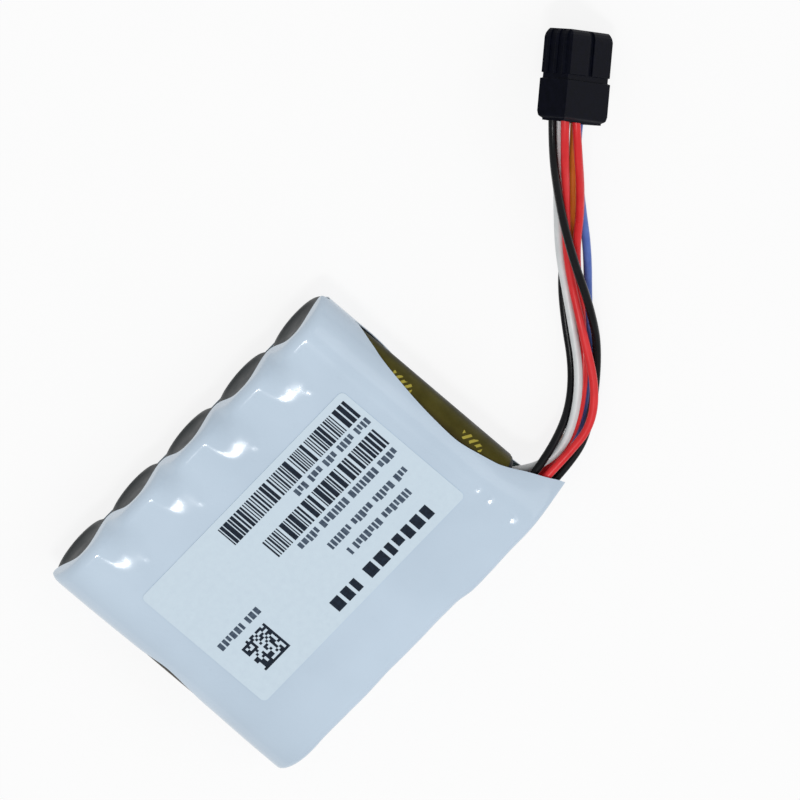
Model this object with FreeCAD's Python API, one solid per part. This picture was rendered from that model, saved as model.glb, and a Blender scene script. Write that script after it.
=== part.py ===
import FreeCAD, Part
import math
import os

# A flat pack of round capacitor cells in a shrink film, with a short cable and plug.
# Millimetres. X runs along the row of cells and Y along each cell, from its closed end
# to its leads. The origin is the middle of the pack's underside, and +Z is up.

# Cells
CELL_COUNT = 5
CAN_DIAMETER = 12.5
CAN_LENGTH = 42.0
CAN_EDGE = 0.7
CELL_GAP = 0.1
SLEEVE_WALL = 0.12
SLEEVE_CLEARANCE = 0.02
SLEEVE_FRONT_SETBACK = 0.9
SLEEVE_BACK_SETBACK = 0.9

# Leads, flattened where they pass the board
LEAD_SPACING = 5.0
LEAD_WIDTH = 1.2
LEAD_THICKNESS = 0.4
LEAD_TAIL = 0.6

# Circuit board behind the leads, standing on edge
BOARD_END_MARGIN = 0.5
BOARD_EDGE_MARGIN = 1.3
BOARD_THICKNESS = 1.2
BOARD_GAP = 1.6
LEAD_SLOT_CLEARANCE = 0.1
SOLDER_FOOT = 0.4
SOLDER_TOP = 0.15
SOLDER_HEIGHT = 0.5

# Parts on the board
CHIP_LENGTH = 4.9
CHIP_WIDTH = 3.9
CHIP_HEIGHT = 1.4
CHIP_STANDOFF = 0.1
CHIP_PIN_COUNT = 4
CHIP_PIN_PITCH = 1.27
CHIP_PIN_WIDTH = 0.42
CHIP_PIN_REACH = 0.85
CHIP_PIN_THICKNESS = 0.25
RESISTOR_LENGTH = 2.0
RESISTOR_WIDTH = 1.25
RESISTOR_HEIGHT = 0.5
CAPACITOR_LENGTH = 1.6
CAPACITOR_WIDTH = 0.8
CAPACITOR_HEIGHT = 0.8
CAPACITOR_OFFSET = 3.6

# Insulating sheet between the board's parts and the film
SHEET_EDGE_MARGIN = 0.8
SHEET_THICKNESS = 0.2
SHEET_CLEARANCE = 0.15

# Shrink film
FILM_WALL = 0.25
FILM_CLEARANCE = 0.08
FILM_FRONT_RADIUS = 1.3
FILM_BACK_RADIUS = 2.6
LIP_HEIGHT = 9.6
LIP_ARCH = 2.6
FILM_FLOOR_SETBACK = 1.6
EXIT_OPENING_SETBACK = 6.5
EXIT_OPENING_OVERRUN = 4.0
EXIT_OPENING_DEPTH = 3.0
FAR_OPENING_SETBACK = 6.1
FAR_OPENING_BACK_SETBACK = 11.0
FAR_OPENING_DEPTH = 0.7

# Label on the film
LABEL_WIDTH = 48.0
LABEL_LENGTH = 27.0
LABEL_THICKNESS = 0.1

# Wires and the posts that they are soldered to
WIRE_DIAMETER = 1.4
WIRE_SIDES = 6
WIRE_CLEARANCE = 0.05
WIRE_LAYER_PITCH = 1.5
WIRE_ROW_OFFSET = 2.0
WIRE_TAIL = 3.2
POST_WIDTH = 1.4
POST_SETBACK = 0.6
POST_STEP = 1.6
INNER_POST_LENGTH = 0.9
INNER_POST_DROP = 1.4
POST_SOLDER_GAP = 0.2

# Plug: two rows of sockets, lying on the floor beside the pack
PLUG_COLUMNS = 5
PLUG_ROWS = 2
PLUG_PITCH = 2.0
PLUG_ROW_PITCH = 2.5
PLUG_SOCKET = 1.64
PLUG_WALL = 0.48
PLUG_LENGTH = 14.8
PLUG_TAIL_LENGTH = 6.7
PLUG_COLLAR = 0.3
PLUG_EDGE = 0.6
PANEL_GAP = 1.1
PANEL_HEIGHT = 0.35
PANEL_MARGIN = 0.9
RIB_COUNT = 3
RIB_WIDTH = 0.7
RIB_HEIGHT = 0.3
PLUG_TIP = (-92.9, -24.6)
PLUG_HEADING = 216.4
PLUG_PITCH_DOWN = 22.0
PLUG_ROLL = 138.0
TERMINAL_LENGTH = 7.0
TERMINAL_WIDTH = 1.5
TERMINAL_WALL = 0.2
TERMINAL_SETBACK = 1.2

# Sizes that follow
V = FreeCAD.Vector
CELL_OUTER = CAN_DIAMETER + 2 * (SLEEVE_CLEARANCE + SLEEVE_WALL)
CELL_PITCH = CELL_OUTER + CELL_GAP
ROW_WIDTH = (CELL_COUNT - 1) * CELL_PITCH + CELL_OUTER
FILM_SKIN = FILM_WALL + FILM_CLEARANCE
FILM_HEIGHT = CELL_OUTER + 2 * FILM_SKIN
FILM_WIDTH = ROW_WIDTH + 2 * FILM_SKIN
AXIS_HEIGHT = FILM_HEIGHT / 2
CELL_XS = [(i - (CELL_COUNT - 1) / 2) * CELL_PITCH for i in range(CELL_COUNT)]
LAYER_COUNT = 3
WIRE_SPACE = LAYER_COUNT * WIRE_LAYER_PITCH
FILM_LENGTH = (
    2 * FILM_SKIN + CAN_LENGTH + BOARD_GAP + BOARD_THICKNESS + WIRE_SPACE
    + SHEET_CLEARANCE + SHEET_THICKNESS
)
FILM_FRONT = -FILM_LENGTH / 2
FILM_BACK = FILM_LENGTH / 2
CAN_FRONT = FILM_FRONT + FILM_SKIN
CAN_BACK = CAN_FRONT + CAN_LENGTH
BOARD_INNER = CAN_BACK + BOARD_GAP
BOARD_OUTER = BOARD_INNER + BOARD_THICKNESS
SHEET_BACK = FILM_BACK - FILM_SKIN
LEAD_XS = [x + side * LEAD_SPACING / 2 for x in CELL_XS for side in (-1, 1)]
BOARD_END = LEAD_XS[-1] + LEAD_WIDTH / 2 + BOARD_END_MARGIN
BOARD_HEIGHT = CELL_OUTER - 2 * BOARD_EDGE_MARGIN
SHEET_HEIGHT = BOARD_HEIGHT - 2 * SHEET_EDGE_MARGIN
POST_FRONT = POST_SETBACK - BOARD_END
NEAR = 1e-4


def box(x, y, z):
    """A box between three (low, high) pairs."""
    size = [high - low for low, high in (x, y, z)]
    return Part.makeBox(*size, V(x[0], y[0], z[0]))


def around(middle, size):
    """The (low, high) pair of a size about a middle."""
    return (middle - size / 2, middle + size / 2)


def save(name, *solids):
    """Writes one node, or a group of separate solids as one node."""
    shape = solids[0] if len(solids) == 1 else Part.makeCompound(list(solids))
    shape.exportStep("parts/" + name + ".step")


def turned(profile, x):
    """A solid turned about a cell's axis from (radius, y) points."""
    points = [V(x + radius, y, AXIS_HEIGHT) for radius, y in profile]
    face = Part.Face(Part.makePolygon(points + points[:1]))
    return face.revolve(V(x, 0, AXIS_HEIGHT), V(0, 1, 0), 360)


def cell(x):
    """A sealed can with a rounded closed end."""
    radius = CAN_DIAMETER / 2
    return turned([
        (0, CAN_FRONT),
        (radius - CAN_EDGE, CAN_FRONT),
        (radius, CAN_FRONT + CAN_EDGE),
        (radius, CAN_BACK),
        (0, CAN_BACK),
    ], x)


def sleeve(x):
    """The printed tube shrunk round a can."""
    bore = CAN_DIAMETER / 2 + SLEEVE_CLEARANCE
    front = CAN_FRONT + SLEEVE_FRONT_SETBACK
    back = CAN_BACK - SLEEVE_BACK_SETBACK
    return turned([
        (bore, front),
        (bore + SLEEVE_WALL, front),
        (bore + SLEEVE_WALL, back),
        (bore, back),
    ], x)


def lead(x):
    """One lead, from the can's end through the board."""
    return box(
        around(x, LEAD_WIDTH),
        (CAN_BACK, BOARD_OUTER + LEAD_TAIL),
        around(AXIS_HEIGHT, LEAD_THICKNESS),
    )


def lead_slot(x):
    return box(
        around(x, LEAD_WIDTH + 2 * LEAD_SLOT_CLEARANCE),
        (BOARD_INNER, BOARD_OUTER),
        around(AXIS_HEIGHT, LEAD_THICKNESS + 2 * LEAD_SLOT_CLEARANCE),
    )


def circuit_board():
    plate = box(
        (-BOARD_END, BOARD_END),
        (BOARD_INNER, BOARD_OUTER),
        around(AXIS_HEIGHT, BOARD_HEIGHT),
    )
    return plate.cut([lead_slot(x) for x in LEAD_XS])


def solder_joint(x):
    """A cone of solder round a lead's tail, four-sided like its pad."""
    foot = (LEAD_WIDTH / 2 + SOLDER_FOOT, LEAD_THICKNESS / 2 + SOLDER_FOOT)
    top = (LEAD_WIDTH / 2 + SOLDER_TOP, LEAD_THICKNESS / 2 + SOLDER_TOP)
    cone = Part.makeWedge(
        x - foot[0], BOARD_OUTER, AXIS_HEIGHT - foot[1], AXIS_HEIGHT - top[1], x - top[0],
        x + foot[0], BOARD_OUTER + SOLDER_HEIGHT, AXIS_HEIGHT + foot[1], AXIS_HEIGHT + top[1], x + top[0],
    )
    return cone.cut(lead(x))


def memory_chip():
    """The chip that stores the pack's figures, between two cells' leads."""
    x = (CELL_XS[1] + CELL_XS[2]) / 2
    seat = BOARD_OUTER + CHIP_STANDOFF
    body = box(around(x, CHIP_WIDTH), (seat, seat + CHIP_HEIGHT), around(AXIS_HEIGHT, CHIP_LENGTH))
    reach = CHIP_WIDTH + 2 * CHIP_PIN_REACH
    first = AXIS_HEIGHT - (CHIP_PIN_COUNT - 1) / 2 * CHIP_PIN_PITCH
    for i in range(CHIP_PIN_COUNT):
        z = around(first + i * CHIP_PIN_PITCH, CHIP_PIN_WIDTH)
        body = body.fuse(box(around(x, reach), (BOARD_OUTER, BOARD_OUTER + CHIP_PIN_THICKNESS), z))
    return body.removeSplitter()


def balance_resistor(x):
    return box(
        around(x, RESISTOR_WIDTH),
        (BOARD_OUTER, BOARD_OUTER + RESISTOR_HEIGHT),
        around(AXIS_HEIGHT, RESISTOR_LENGTH),
    )


def filter_capacitor(side):
    x = (CELL_XS[2] + CELL_XS[3]) / 2 + side * CAPACITOR_OFFSET / 2
    return box(
        around(x, CAPACITOR_WIDTH),
        (BOARD_OUTER, BOARD_OUTER + CAPACITOR_HEIGHT),
        around(AXIS_HEIGHT, CAPACITOR_LENGTH),
    )


def insulating_sheet():
    return box(
        (-BOARD_END, BOARD_END),
        (SHEET_BACK - SHEET_THICKNESS, SHEET_BACK),
        around(AXIS_HEIGHT, SHEET_HEIGHT),
    )


def x_edges(shape, y, above):
    """A block's edges along X at one y, above a height."""
    found = []
    for edge in shape.Edges:
        limits = edge.BoundBox
        at_y = abs(limits.YMin - y) < NEAR and abs(limits.YMax - y) < NEAR
        if at_y and limits.XLength > NEAR and limits.ZLength < NEAR and limits.ZMin > above:
            found.append(edge)
    return found


def film_block(skin):
    """The pack's outer form, drawn in by skin: rounded sides, and rounded edges at its ends."""
    half = FILM_WIDTH / 2 - skin
    low = skin
    high = FILM_HEIGHT - skin
    flat = half - (high - low) / 2
    front = FILM_FRONT + skin
    back = FILM_BACK - skin
    section = Part.Wire([
        Part.LineSegment(V(-flat, front, low), V(flat, front, low)).toShape(),
        Part.Arc(V(flat, front, low), V(half, front, AXIS_HEIGHT), V(flat, front, high)).toShape(),
        Part.LineSegment(V(flat, front, high), V(-flat, front, high)).toShape(),
        Part.Arc(V(-flat, front, high), V(-half, front, AXIS_HEIGHT), V(-flat, front, low)).toShape(),
    ])
    tube = Part.Face(section).extrude(V(0, back - front, 0))
    slab = box((-half, half), (front, back), (low, high))
    slab = slab.makeFillet(FILM_BACK_RADIUS - skin, x_edges(slab, back, low - FILM_WALL))
    slab = slab.makeFillet(FILM_FRONT_RADIUS - skin, x_edges(slab, front, AXIS_HEIGHT))
    return tube.common(slab)


def lip_arches():
    """The space under the film's front lip, arched over each cell."""
    y = FILM_FRONT - FILM_WALL
    base = FILM_WALL
    crown = LIP_HEIGHT
    spring = LIP_HEIGHT - LIP_ARCH
    edge = CELL_XS[-1] + CELL_PITCH / 2
    sides = [
        Part.LineSegment(V(edge, y, spring), V(edge, y, base)).toShape(),
        Part.LineSegment(V(edge, y, base), V(-edge, y, base)).toShape(),
        Part.LineSegment(V(-edge, y, base), V(-edge, y, spring)).toShape(),
    ]
    arches = [
        Part.Arc(
            V(x - CELL_PITCH / 2, y, spring), V(x, y, crown), V(x + CELL_PITCH / 2, y, spring)
        ).toShape()
        for x in CELL_XS
    ]
    return Part.Face(Part.Wire(arches + sides)).extrude(V(0, 2 * FILM_WALL + FILM_CLEARANCE, 0))


def floor_setback():
    """The strip below the lip where the film stops short of the cells' ends."""
    return box(
        around(0, 2 * FILM_WIDTH),
        (FILM_FRONT - FILM_WALL, FILM_FRONT + FILM_FLOOR_SETBACK),
        (-FILM_WALL, LIP_HEIGHT - LIP_ARCH),
    )


def side_opening(side, front, back, depth):
    """The bowed opening that the shrunk film leaves along one side of the pack."""
    edge = side * FILM_WIDTH / 2
    outside = edge + side * FILM_HEIGHT
    middle = (front + back) / 2
    outline = Part.Wire([
        Part.Arc(V(edge, front, 0), V(edge - side * depth, middle, 0), V(edge, back, 0)).toShape(),
        Part.LineSegment(V(edge, back, 0), V(outside, back, 0)).toShape(),
        Part.LineSegment(V(outside, back, 0), V(outside, front, 0)).toShape(),
        Part.LineSegment(V(outside, front, 0), V(edge, front, 0)).toShape(),
    ])
    return Part.Face(outline).extrude(V(0, 0, FILM_HEIGHT))


def wrap_film():
    shell = film_block(0).cut(film_block(FILM_WALL))
    return shell.cut([
        lip_arches(),
        floor_setback(),
        side_opening(
            -1, FILM_FRONT + EXIT_OPENING_SETBACK, FILM_BACK + EXIT_OPENING_OVERRUN, EXIT_OPENING_DEPTH
        ),
        side_opening(
            1, FILM_FRONT + FAR_OPENING_SETBACK, FILM_BACK - FAR_OPENING_BACK_SETBACK, FAR_OPENING_DEPTH
        ),
    ])


def label():
    return box(
        around(0, LABEL_WIDTH),
        around(0, LABEL_LENGTH),
        (FILM_HEIGHT, FILM_HEIGHT + LABEL_THICKNESS),
    )


def layer_y(layer):
    """The wires' distance from the board, layer by layer."""
    return BOARD_OUTER + WIRE_CLEARANCE + WIRE_DIAMETER / 2 + layer * WIRE_LAYER_PITCH


def post(layer, side):
    """A post on the board's outer face that a wire's end is soldered to."""
    start = POST_FRONT + layer * POST_STEP
    return box(
        (start, start + POST_WIDTH),
        (BOARD_OUTER, layer_y(layer) + WIRE_DIAMETER / 2),
        around(AXIS_HEIGHT + side * WIRE_ROW_OFFSET, POST_WIDTH),
    )


def wire_start(layer, side):
    x = POST_FRONT + layer * POST_STEP - POST_SOLDER_GAP
    return (x, layer_y(layer), AXIS_HEIGHT + side * WIRE_ROW_OFFSET)


INNER_WIRE_Y = BOARD_INNER - WIRE_CLEARANCE - WIRE_DIAMETER / 2
INNER_WIRE_START = (-BOARD_END - POST_SOLDER_GAP, INNER_WIRE_Y, AXIS_HEIGHT - INNER_POST_DROP)


def inner_post():
    """The post on the board's inner face, for the wire that passes behind it."""
    return box(
        (-BOARD_END, INNER_POST_LENGTH - BOARD_END),
        (INNER_WIRE_Y - WIRE_DIAMETER / 2, BOARD_INNER),
        around(INNER_WIRE_START[2], POST_WIDTH),
    )


# The plug's own frame: x across its columns, y across its rows, z from its tail to its tip
CAVITY_WIDTH = (PLUG_COLUMNS - 1) * PLUG_PITCH + PLUG_SOCKET
CAVITY_DEPTH = (PLUG_ROWS - 1) * PLUG_ROW_PITCH + PLUG_SOCKET
PLUG_WIDTH = CAVITY_WIDTH + 2 * PLUG_WALL
PLUG_DEPTH = CAVITY_DEPTH + 2 * PLUG_WALL
SOCKETS = [
    ((column - (PLUG_COLUMNS - 1) / 2) * PLUG_PITCH, (row - (PLUG_ROWS - 1) / 2) * PLUG_ROW_PITCH)
    for column in range(PLUG_COLUMNS)
    for row in range(PLUG_ROWS)
]


def plug_housing():
    """The plug's body: a plain tail block, and ribs and panels along its nose."""
    tail = box(
        around(0, PLUG_WIDTH + 2 * PLUG_COLLAR),
        around(0, PLUG_DEPTH + 2 * PLUG_COLLAR),
        (0, PLUG_TAIL_LENGTH),
    )
    tail = tail.makeChamfer(PLUG_EDGE, [edge for edge in tail.Edges if edge.BoundBox.ZMax < PLUG_EDGE])
    nose = box(around(0, PLUG_WIDTH), around(0, PLUG_DEPTH), (0, PLUG_LENGTH))
    body = tail.fuse(nose)
    panel_start = PLUG_TAIL_LENGTH + PANEL_MARGIN
    panel_width = (PLUG_WIDTH - PANEL_GAP) / 2
    for side in (-1, 1):
        middle = side * (PANEL_GAP + panel_width) / 2
        body = body.fuse(box(
            around(middle, panel_width),
            around(0, PLUG_DEPTH + 2 * PANEL_HEIGHT),
            (panel_start, PLUG_LENGTH),
        ))
    rib_step = PLUG_DEPTH / RIB_COUNT
    for i in range(RIB_COUNT):
        middle = (i - (RIB_COUNT - 1) / 2) * rib_step
        body = body.fuse(box(
            around(0, PLUG_WIDTH + 2 * RIB_HEIGHT),
            around(middle, RIB_WIDTH),
            (panel_start, PLUG_LENGTH),
        ))
    cavity = box(around(0, CAVITY_WIDTH), around(0, CAVITY_DEPTH), (0, PLUG_LENGTH))
    return body.cut(cavity).removeSplitter()


def plug_dividers():
    """The walls that part the plug's cavity into sockets: one between rows, and some across each row."""
    between_rows = PLUG_ROW_PITCH - PLUG_SOCKET
    between_columns = PLUG_PITCH - PLUG_SOCKET
    walls = []
    for row in range(PLUG_ROWS - 1):
        y = (row - (PLUG_ROWS - 2) / 2) * PLUG_ROW_PITCH
        walls.append(box(around(0, CAVITY_WIDTH), around(y, between_rows), (0, PLUG_LENGTH)))
    for row in range(PLUG_ROWS):
        y = (row - (PLUG_ROWS - 1) / 2) * PLUG_ROW_PITCH
        for column in range(PLUG_COLUMNS - 1):
            x = (column - (PLUG_COLUMNS - 2) / 2) * PLUG_PITCH
            walls.append(box(around(x, between_columns), around(y, PLUG_SOCKET), (0, PLUG_LENGTH)))
    return walls


def plug_placement():
    """The plug rolled onto an edge and dipped to its tip, whose lowest corner touches the floor."""
    heading = FreeCAD.Rotation(V(0, 0, 1), PLUG_HEADING)
    dip = FreeCAD.Rotation(V(0, 1, 0), 90 + PLUG_PITCH_DOWN)
    roll = FreeCAD.Rotation(V(0, 0, 1), PLUG_ROLL)
    turn = heading.multiply(dip).multiply(roll)
    place = FreeCAD.Placement(V(*PLUG_TIP, 0) - turn.multVec(V(0, 0, PLUG_LENGTH)), turn)
    housing = plug_housing()
    housing.Placement = place
    place.Base.z -= housing.BoundBox.ZMin
    return place


PLUG = plug_placement()


def crimp_terminal(x, y):
    """A folded box contact in a socket, open towards the tip."""
    start = PLUG_LENGTH - TERMINAL_SETBACK - TERMINAL_LENGTH
    end = PLUG_LENGTH - TERMINAL_SETBACK
    hollow = TERMINAL_WIDTH - 2 * TERMINAL_WALL
    shell = box(around(x, TERMINAL_WIDTH), around(y, TERMINAL_WIDTH), (start, end))
    bore = box(around(x, hollow), around(y, hollow), (start + TERMINAL_WALL, end))
    return shell.cut(bore)


def wire_end(socket):
    """A wire's straight end: behind the plug's tail, and at its terminal inside."""
    x, y = SOCKETS[socket]
    terminal = PLUG_LENGTH - TERMINAL_SETBACK - TERMINAL_LENGTH
    return [tuple(PLUG.multVec(V(x, y, z))) for z in (-WIRE_TAIL, terminal)]


def tube(points):
    """A wire along straight runs joined by tangent arcs as large as the runs allow."""
    points = [V(*point) for point in points]
    edges = []
    radii = []
    start = points[0]
    for before, corner, after in zip(points, points[1:], points[2:]):
        back = (before - corner).normalize()
        ahead = (after - corner).normalize()
        half_turn = (math.pi - back.getAngle(ahead)) / 2
        setback = 0.45 * min((before - corner).Length, (after - corner).Length)
        radius = setback / math.tan(half_turn)
        first = corner + back * setback
        last = corner + ahead * setback
        centre = corner + (back + ahead).normalize() * (radius / math.cos(half_turn))
        middle = centre + (corner - centre).normalize() * radius
        edges.append(Part.LineSegment(start, first).toShape())
        edges.append(Part.Arc(first, middle, last).toShape())
        radii.append(round(radius, 1))
        start = last
    edges.append(Part.LineSegment(start, points[-1]).toShape())
    path = Part.Wire(edges)
    circle = Part.Circle(points[0], points[1] - points[0], WIRE_DIAMETER / 2)
    ring = [circle.value(2 * math.pi * i / WIRE_SIDES) for i in range(WIRE_SIDES)]
    face = Part.Face(Part.makePolygon(ring + ring[:1]))
    solid = path.makePipe(face)
    return solid, radii, path.Length, solid.Volume / (face.Area * path.Length)


# Wires: where each starts, its socket, and the free points of its route from the exit to the plug
WIRES = {
    "black_wire_1": (wire_start(2, 1), 8, [
        (-37.4, 24.4, 7.2), (-48.2, 22.0, 1.8), (-59.3, 8.1, 3.2), (-68.9, -6.7, 7.0)]),
    "black_wire_2": (wire_start(0, 1), 4, [
        (-36.5, 20.8, 7.1), (-45.3, 17.6, 2.3), (-55.9, 5.8, 0.8), (-67.8, -5.5, 2.0)]),
    "red_wire_1": (wire_start(1, 1), 9, [
        (-37.8, 23.3, 7.9), (-47.9, 20.4, 3.6), (-57.3, 6.6, 2.6), (-69.2, -5.5, 4.9)]),
    "red_wire_2": (wire_start(1, -1), 7, [
        (-37.0, 23.5, 5.1), (-46.7, 20.5, 1.7), (-57.7, 7.8, 1.3), (-70.5, -3.8, 4.7)]),
    "orange_wire": (wire_start(0, -1), 2, [
        (-36.6, 22.2, 4.0), (-45.6, 19.3, 1.0), (-56.8, 7.1, 0.6), (-69.3, -4.1, 2.9)]),
    "blue_wire": (wire_start(2, -1), 0, [
        (-37.0, 24.2, 3.7), (-47.0, 21.5, 0.8), (-58.5, 9.0, 0.7), (-70.4, -2.9, 2.9)]),
    "white_wire": (INNER_WIRE_START, 6, [
        (-36.5, 22.0, 6.0), (-46.6, 19.1, 2.9), (-56.7, 5.5, 2.2), (-67.7, -6.4, 3.8)]),
}

os.makedirs("parts", exist_ok=True)
for number, x in enumerate(CELL_XS, 1):
    save("cell_%d" % number, cell(x))
    save("sleeve_%d" % number, sleeve(x))
save("cell_leads", *[lead(x) for x in LEAD_XS])
save("circuit_board", circuit_board())
save("solder_joints", *[solder_joint(x) for x in LEAD_XS])
save("memory_chip", memory_chip())
save("balance_resistors", *[balance_resistor(x) for x in CELL_XS])
save("filter_capacitors", filter_capacitor(-1), filter_capacitor(1))
save("insulating_sheet", insulating_sheet())
save("wire_posts", inner_post(), *[post(layer, side) for layer in range(LAYER_COUNT) for side in (-1, 1)])
save("wrap_film", wrap_film())
save("label", label())
housing = plug_housing()
housing.Placement = PLUG
save("plug_housing", housing)
dividers = plug_dividers()
for wall in dividers:
    wall.Placement = PLUG
save("plug_dividers", *dividers)
terminals = []
for name, (start, socket, points) in WIRES.items():
    solid, radii, length, filled = tube([start, *points, *wire_end(socket)])
    save(name, solid)
    print(name, "length", round(length, 1), "radii", radii, "volume share", round(filled, 4))
    terminal = crimp_terminal(*SOCKETS[socket])
    terminal.Placement = PLUG
    terminals.append(terminal)
save("crimp_terminals", *terminals)
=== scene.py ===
import math
import random
from collections import namedtuple

import bmesh
import bpy
from mathutils import Matrix, Vector, noise


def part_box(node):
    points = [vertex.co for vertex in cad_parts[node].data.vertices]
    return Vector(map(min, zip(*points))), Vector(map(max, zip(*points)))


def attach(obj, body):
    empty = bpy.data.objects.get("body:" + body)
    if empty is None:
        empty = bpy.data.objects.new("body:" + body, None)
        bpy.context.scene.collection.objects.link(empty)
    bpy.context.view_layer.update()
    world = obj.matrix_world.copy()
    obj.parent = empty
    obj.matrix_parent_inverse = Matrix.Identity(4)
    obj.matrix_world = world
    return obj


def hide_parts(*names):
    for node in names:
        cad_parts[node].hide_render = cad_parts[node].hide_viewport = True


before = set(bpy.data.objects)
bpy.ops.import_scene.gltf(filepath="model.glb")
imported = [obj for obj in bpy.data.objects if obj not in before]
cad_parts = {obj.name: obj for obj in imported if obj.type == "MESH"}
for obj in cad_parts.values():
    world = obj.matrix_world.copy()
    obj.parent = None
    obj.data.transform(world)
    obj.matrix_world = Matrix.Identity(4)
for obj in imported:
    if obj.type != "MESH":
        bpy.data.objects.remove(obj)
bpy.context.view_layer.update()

# A shrink-wrapped row of capacitor cells with a short cable and plug. Meshes are modelled in
# millimetres in the row's frame and brought to metres when they are finished.

MM = 0.001
X_AXIS = 0
Y_AXIS = 1
Z_AXIS = 2


def node_box(node):
    """A node's lowest and highest corners in millimetres."""
    low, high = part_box(node)
    return Vector(low) / MM, Vector(high) / MM


FILM_LOW, FILM_HIGH = node_box("wrap_film")
LABEL_TOP = node_box("label")[1].z
CELLS = [node_box("cell_%d" % number) for number in range(1, 6)]
CELL_XS = [(low.x + high.x) / 2 for low, high in CELLS]
CELL_RADIUS = (CELLS[0][1].x - CELLS[0][0].x) / 2
CELL_PITCH = CELL_XS[1] - CELL_XS[0]
VALLEY_XS = [x + CELL_PITCH / 2 for x in CELL_XS[:-1]]
MIDDLE = (FILM_LOW.z + FILM_HIGH.z) / 2
HALF_HEIGHT = (FILM_HIGH.z - FILM_LOW.z) / 2
HALF_WIDTH = FILM_HIGH.x


# Finishes

# Most of a noise texture lies between these two values.
NOISE_LOW = 0.3
NOISE_HIGH = 0.7
REPEAT_MIDDLE = 0.5


class Finish:
    """A material's node tree, with short ways to add to it."""

    def __init__(self, name, roughness=0.5, metallic=0.0, specular=0.5):
        self.material = bpy.data.materials.new(name)
        self.material.use_nodes = True
        self.tree = self.material.node_tree
        self.shader = self.tree.nodes["Principled BSDF"]
        self.shader.inputs["Roughness"].default_value = roughness
        self.shader.inputs["Metallic"].default_value = metallic
        self.shader.inputs["Specular IOR Level"].default_value = specular
        self.place = self.tree.nodes.new("ShaderNodeTexCoord").outputs["Object"]

    def node(self, kind, **settings):
        """A new node with some of its settings given."""
        made = self.tree.nodes.new(kind)
        for name, value in settings.items():
            setattr(made, name, value)
        return made

    def link(self, source, target):
        """Joins an output to an input."""
        self.tree.links.new(source, target)

    def noise(self, scale, detail=3.0, rough=0.5):
        """A cloudy value over the piece."""
        made = self.node("ShaderNodeTexNoise")
        made.inputs["Scale"].default_value = scale
        made.inputs["Detail"].default_value = detail
        made.inputs["Roughness"].default_value = rough
        self.link(self.place, made.inputs["Vector"])
        return made.outputs["Fac"]

    def ramp(self, value, *stops):
        """A value turned into colours by (value, colour) stops."""
        made = self.node("ShaderNodeValToRGB")
        band = made.color_ramp
        while len(band.elements) < len(stops):
            band.elements.new(1.0)
        for element, (at, colour) in zip(band.elements, stops):
            element.position = at
            element.color = (*colour, 1.0)
        self.link(value, made.inputs["Fac"])
        return made.outputs["Color"]

    def spread(self, value, low, high):
        """A noise value spread between a low and a high one."""
        made = self.node("ShaderNodeMapRange")
        made.inputs["From Min"].default_value = NOISE_LOW
        made.inputs["From Max"].default_value = NOISE_HIGH
        made.inputs["To Min"].default_value = low
        made.inputs["To Max"].default_value = high
        self.link(value, made.inputs["Value"])
        return made.outputs["Result"]

    def math(self, kind, first, second=None):
        """One sum on numbers or other nodes' values."""
        made = self.node("ShaderNodeMath", operation=kind)
        for socket, value in zip(made.inputs, (first, second)):
            if value is None:
                continue
            if isinstance(value, (int, float)):
                socket.default_value = value
            else:
                self.link(value, socket)
        return made.outputs["Value"]

    def plus(self, first, second):
        """Two values added."""
        return self.math("ADD", first, second)

    def times(self, first, second):
        """Two values multiplied."""
        return self.math("MULTIPLY", first, second)

    def near_middle(self, value, half):
        """1 where a value is near the middle of its repeat from one whole number to the next, else 0."""
        past = self.math("SUBTRACT", self.math("FRACT", value), REPEAT_MIDDLE)
        return self.math("LESS_THAN", self.math("ABSOLUTE", past), half)

    def blend(self, share, first, second):
        """A colour between two, by a share."""
        made = self.node("ShaderNodeMix", data_type="RGBA")
        self.link(share, made.inputs["Factor"])
        colours = [socket for socket in made.inputs if socket.type == "RGBA"]
        for socket, value in zip(colours, (first, second)):
            if isinstance(value, tuple):
                socket.default_value = (*value, 1.0)
            else:
                self.link(value, socket)
        return [socket for socket in made.outputs if socket.type == "RGBA"][0]

    def colour(self, value):
        """Sets what the surface's colour follows."""
        self.link(value, self.shader.inputs["Base Color"])

    def roughness(self, value):
        """Sets what the surface's roughness follows."""
        self.link(value, self.shader.inputs["Roughness"])

    def bump(self, value, height, strength):
        """Raises the surface a little by a value, with a height in metres."""
        made = self.node("ShaderNodeBump")
        made.inputs["Strength"].default_value = strength
        made.inputs["Distance"].default_value = height
        self.link(value, made.inputs["Height"])
        self.link(made.outputs["Normal"], self.shader.inputs["Normal"])


def linear(red, green, blue):
    """A colour as seen, from 0 to 255, in the renderer's linear scale."""
    out = []
    for part in (red, green, blue):
        share = part / 255
        out.append(share / 12.92 if share <= 0.04045 else ((share + 0.055) / 1.055) ** 2.4)
    return tuple(out)


def film_finish():
    """Smooth milky shrink film with a soft uneven sheen."""
    finish = Finish("shrink_film", specular=0.4)
    clouds = finish.noise(55.0, 2.0)
    finish.colour(finish.ramp(clouds, (0.3, linear(189, 206, 222)), (0.7, linear(198, 215, 231))))
    finish.roughness(finish.spread(finish.noise(140.0, 3.0), 0.11, 0.17))
    finish.bump(finish.noise(230.0, 2.0), 0.00004, 0.35)
    return finish.material


def label_finish():
    """Coated paper with a faint fibre."""
    finish = Finish("label_paper", roughness=0.42)
    fibre = finish.noise(900.0, 4.0, 0.6)
    finish.colour(finish.ramp(fibre, (0.3, linear(195, 212, 225)), (0.7, linear(201, 218, 230))))
    finish.roughness(finish.spread(fibre, 0.36, 0.48))
    finish.bump(fibre, 0.00001, 0.3)
    return finish.material


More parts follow.
